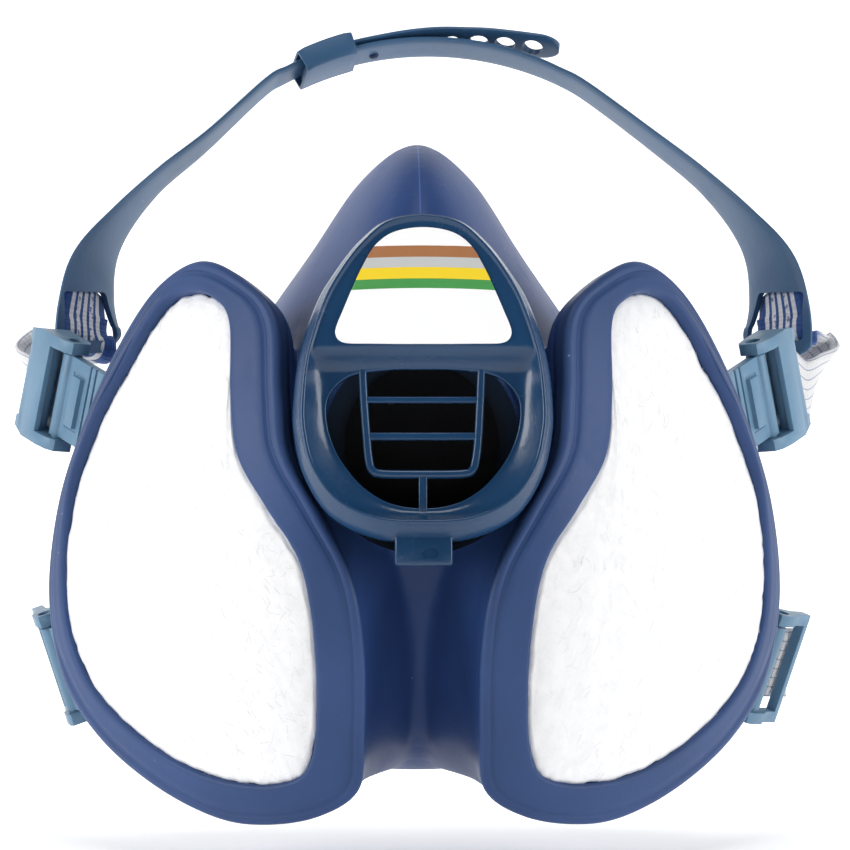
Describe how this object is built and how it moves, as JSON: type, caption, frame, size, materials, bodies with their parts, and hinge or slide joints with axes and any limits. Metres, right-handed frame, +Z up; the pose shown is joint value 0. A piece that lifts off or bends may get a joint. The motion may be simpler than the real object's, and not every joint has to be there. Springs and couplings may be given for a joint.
{
  "type": "half-mask respirator",
  "caption": "Reusable half-mask respirator: soft facepiece with bonded filter lobes, central exhalation valve under a grille cover, strap buckles, adjustable head band and clasped neck strap",
  "frame": {"origin": "middle of the face opening, between the cheek edges of the seal", "axes": "+X to the right of the front view, +Y towards the wearer's face, +Z up"},
  "size_m": [0.168, 0.1525, 0.1582],
  "materials": {
    "soft_blue": "matte moulded elastomer",
    "rim_blue": "satin moulded elastomer",
    "pad_white": "non-woven fibre",
    "carbon": "bonded granules",
    "tray_blue": "moulded plastic",
    "seat_blue": "moulded plastic",
    "flap_silicone": "thin silicone",
    "cover_blue": "semi-gloss moulded plastic",
    "label": "printed label with plain colour bands",
    "buckle_blue": "satin moulded plastic",
    "band_blue": "satin moulded plastic",
    "webbing": "striped elastic webbing",
    "stud_dark": "dark plastic"
  },
  "bodies": {
    "facepiece": {"face_shell": "soft_blue", "exhale_seat": "seat_blue", "filter_rim_left": "rim_blue", "filter_pad_left": "pad_white", "carbon_block_left": "carbon", "filter_tray_left": "tray_blue", "inhale_seat_left": "seat_blue", "strap_lug_upper_left": "buckle_blue", "strap_lug_lower_left": "buckle_blue", "filter_rim_right": "rim_blue", "filter_pad_right": "pad_white", "carbon_block_right": "carbon", "filter_tray_right": "tray_blue", "inhale_seat_right": "seat_blue", "strap_lug_upper_right": "buckle_blue", "strap_lug_lower_right": "buckle_blue"},
    "cover": {"exhale_cover": "cover_blue", "label_plate": "label"},
    "exhale_valve": {"exhale_flap": "flap_silicone"},
    "inhale_valve_left": {"inhale_flap_left": "flap_silicone"},
    "inhale_valve_right": {"inhale_flap_right": "flap_silicone"},
    "buckle_upper_left_body": {"buckle_upper_left": "buckle_blue"},
    "buckle_upper_right_body": {"buckle_upper_right": "buckle_blue"},
    "buckle_lower_left_body": {"buckle_lower_left": "buckle_blue"},
    "buckle_lower_right_body": {"buckle_lower_right": "buckle_blue"},
    "harness": {"head_band_right": "band_blue", "band_keeper": "band_blue", "size_stud": "stud_dark", "webbing_upper_right": "webbing"},
    "band_left_arm": {"head_band_left": "band_blue", "webbing_upper_left": "webbing"},
    "neck_strap": {"neck_webbing_left": "webbing", "neck_webbing_right": "webbing", "neck_eye": "buckle_blue"},
    "clasp_hook": {"neck_hook": "buckle_blue"}
  },
  "joints": [
    {"name": "cover_unclip", "type": "slide", "parent": "facepiece", "child": "cover", "axis": [0, -1, 0], "range_m": [0, 0.03]},
    {"name": "exhale_open", "type": "slide", "parent": "facepiece", "child": "exhale_valve", "axis": [0, -1, 0], "range_m": [0, 0.0013], "stiffness_N_per_m": 8},
    {"name": "inhale_open_left", "type": "slide", "parent": "facepiece", "child": "inhale_valve_left", "axis": [0.666, 0.7459, 0], "range_m": [0, 0.0012], "stiffness_N_per_m": 8},
    {"name": "inhale_open_right", "type": "slide", "parent": "facepiece", "child": "inhale_valve_right", "axis": [-0.666, 0.7459, 0], "range_m": [0, 0.0012], "stiffness_N_per_m": 8},
    {"name": "buckle_upper_left", "type": "hinge", "parent": "facepiece", "child": "buckle_upper_left_body", "pos_m": [-0.0686, -0.015, 0.006], "axis": [0.195, -0.2069, 0.9587], "range_deg": [-20, 20], "deforming": ["webbing_upper_left"]},
    {"name": "buckle_upper_right", "type": "hinge", "parent": "facepiece", "child": "buckle_upper_right_body", "pos_m": [0.0686, -0.015, 0.006], "axis": [-0.195, -0.2069, 0.9587], "range_deg": [-20, 20], "deforming": ["webbing_upper_right"]},
    {"name": "buckle_lower_left", "type": "hinge", "parent": "facepiece", "child": "buckle_lower_left_body", "pos_m": [-0.0696, -0.0055, -0.048], "axis": [-0.302, -0.1606, 0.9397], "range_deg": [-20, 20], "deforming": ["neck_webbing_left"]},
    {"name": "buckle_lower_right", "type": "hinge", "parent": "facepiece", "child": "buckle_lower_right_body", "pos_m": [0.0696, -0.0055, -0.048], "axis": [0.302, -0.1606, 0.9397], "range_deg": [-20, 20], "deforming": ["neck_webbing_right"]},
    {"name": "harness_swing", "type": "hinge", "parent": "facepiece", "child": "harness", "pos_m": [0, 0.004, 0.0085], "axis": [1, 0, 0], "range_deg": [-55, 10], "deforming": ["webbing_upper_left", "webbing_upper_right"]},
    {"name": "band_size", "type": "hinge", "parent": "harness", "child": "band_left_arm", "pos_m": [0.0043, 0.01645, 0.0356], "axis": [0, -0.8387, 0.5446], "range_deg": [-6, 6], "deforming": ["webbing_upper_left"]},
    {"name": "neck_swing", "type": "hinge", "parent": "facepiece", "child": "neck_strap", "pos_m": [0, 0.002, -0.048], "axis": [1, 0, 0], "range_deg": [-25, 30], "deforming": ["neck_webbing_left", "neck_webbing_right"]},
    {"name": "clasp_release", "type": "slide", "parent": "neck_strap", "child": "clasp_hook", "axis": [-1, 0, 0], "range_m": [0, 0.008], "deforming": ["neck_webbing_left"]}
  ]
}
